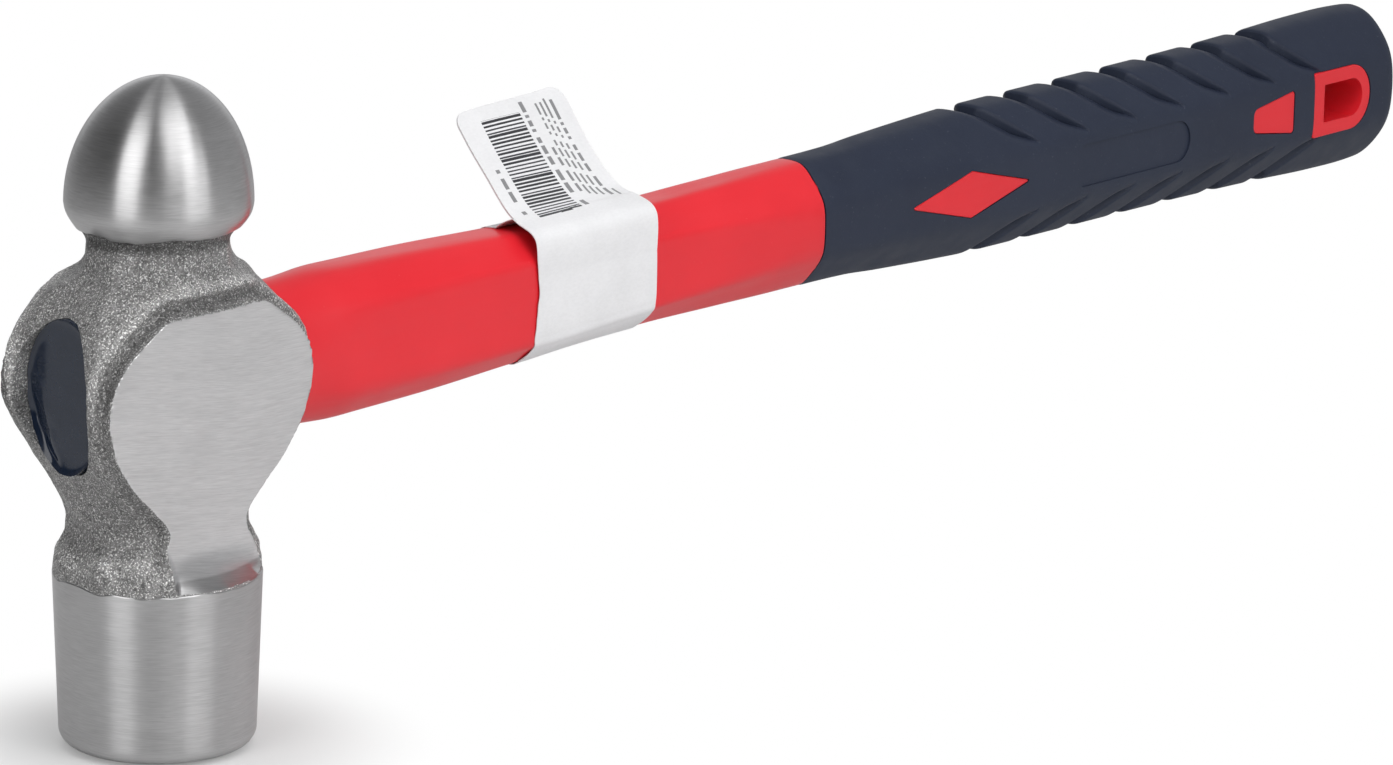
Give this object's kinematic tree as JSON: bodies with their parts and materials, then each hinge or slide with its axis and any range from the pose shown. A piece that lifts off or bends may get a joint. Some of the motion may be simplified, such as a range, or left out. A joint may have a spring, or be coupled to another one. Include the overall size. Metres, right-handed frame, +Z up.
{
  "type": "ball peen hammer",
  "caption": "Ball peen hammer: a forged steel head with a flat striking face and a rounded peen, bonded to a moulded fibreglass-cored handle with a rubber grip.",
  "frame": {"origin": "centre of the flat striking face", "axes": "+Z up the head from the striking face through the eye to the ball peen, +X along the handle from the head to the butt, Y across the cheeks"},
  "size_m": [0.3863, 0.0364, 0.1176],
  "materials": {
    "forged_steel": "ground and brushed on the ball, the cheeks and the poll, rough as forged elsewhere",
    "epoxy_resin": "cast black epoxy, smooth, glossy where it climbs the wall of the eye",
    "fibreglass": "pultruded glass fibre rod, satin",
    "red_plastic": "injection-moulded polypropylene, semi-gloss",
    "grip_rubber": "overmoulded thermoplastic rubber, dark slate, matte",
    "label_paper": "coated white paper, lightly creased"
  },
  "bodies": {
    "root": {"hammer_head": "forged_steel", "eye_resin": "epoxy_resin", "fibreglass_core": "fibreglass", "handle_jacket": "red_plastic", "rubber_grip": "grip_rubber", "paper_label": "label_paper"}
  },
  "joints": []
}
